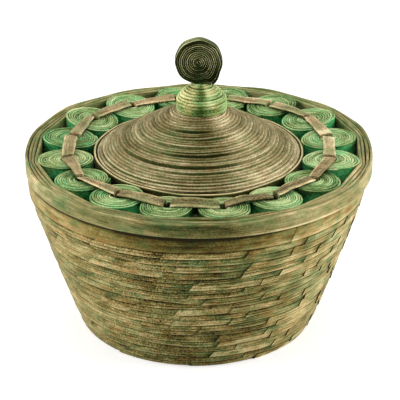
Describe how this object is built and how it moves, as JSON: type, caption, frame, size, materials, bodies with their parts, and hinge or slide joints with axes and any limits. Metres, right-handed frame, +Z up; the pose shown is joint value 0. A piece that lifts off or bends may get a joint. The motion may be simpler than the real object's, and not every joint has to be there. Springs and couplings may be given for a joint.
{
  "type": "paper basket",
  "caption": "Round flared basket wound from folded paper strips, with a lift-off lid of laced rolled paper coils, a stepped centre cone, a small dome and an upright rolled disc knob.",
  "frame": {"origin": "centre of the flat underside, on the surface that the basket stands on", "axes": "+Z up along the basket's axis, -Y to the front, the side that the knob's flat face looks to"},
  "size_m": [0.2414, 0.2414, 0.2093],
  "materials": {
    "base_paper": "dull painted paper, rolled flat",
    "wall_paper": "satin, gold brushed over green painted paper",
    "mouth_paper": "satin, gold brushed over green painted paper",
    "rim_paper": "satin, olive gold brushed over green painted paper",
    "coil_paper": "satin green painted paper with pale edges",
    "lace_paper": "satin tan gold paper strip",
    "cone_paper": "satin brownish gold over green painted paper",
    "hive_paper": "satin bright green paper with gold ridges",
    "knob_paper": "satin dark olive paper with gold edges",
    "inner_paper": "dull green painted paper"
  },
  "bodies": {
    "basket": {"base_disc": "base_paper", "wall_course_1": "wall_paper", "wall_course_2": "wall_paper", "wall_course_3": "wall_paper", "wall_course_4": "wall_paper", "wall_course_5": "wall_paper", "mouth_wrap_1": "mouth_paper", "mouth_wrap_2": "mouth_paper"},
    "lid": {"lid_rim_wrap_1": "rim_paper", "lid_rim_wrap_2": "rim_paper", "lid_rim_wrap_3": "rim_paper", "lid_rim_wrap_4": "rim_paper", "coil_01": "coil_paper", "coil_02": "coil_paper", "coil_03": "coil_paper", "coil_04": "coil_paper", "coil_05": "coil_paper", "coil_06": "coil_paper", "coil_07": "coil_paper", "coil_08": "coil_paper", "coil_09": "coil_paper", "coil_10": "coil_paper", "coil_11": "coil_paper", "coil_12": "coil_paper", "coil_13": "coil_paper", "coil_14": "coil_paper", "coil_15": "coil_paper", "coil_16": "coil_paper", "lacing_strip_a": "lace_paper", "lacing_strip_b": "lace_paper", "lid_inner_wrap": "rim_paper", "lid_cone_coil": "cone_paper", "beehive_coil": "hive_paper", "knob_coil": "knob_paper", "lid_locating_ring": "inner_paper"}
  },
  "joints": [
    {"name": "lid_lift", "type": "slide", "parent": "basket", "child": "lid", "axis": [0, 0, 1], "range_m": [0, 0.12]}
  ]
}
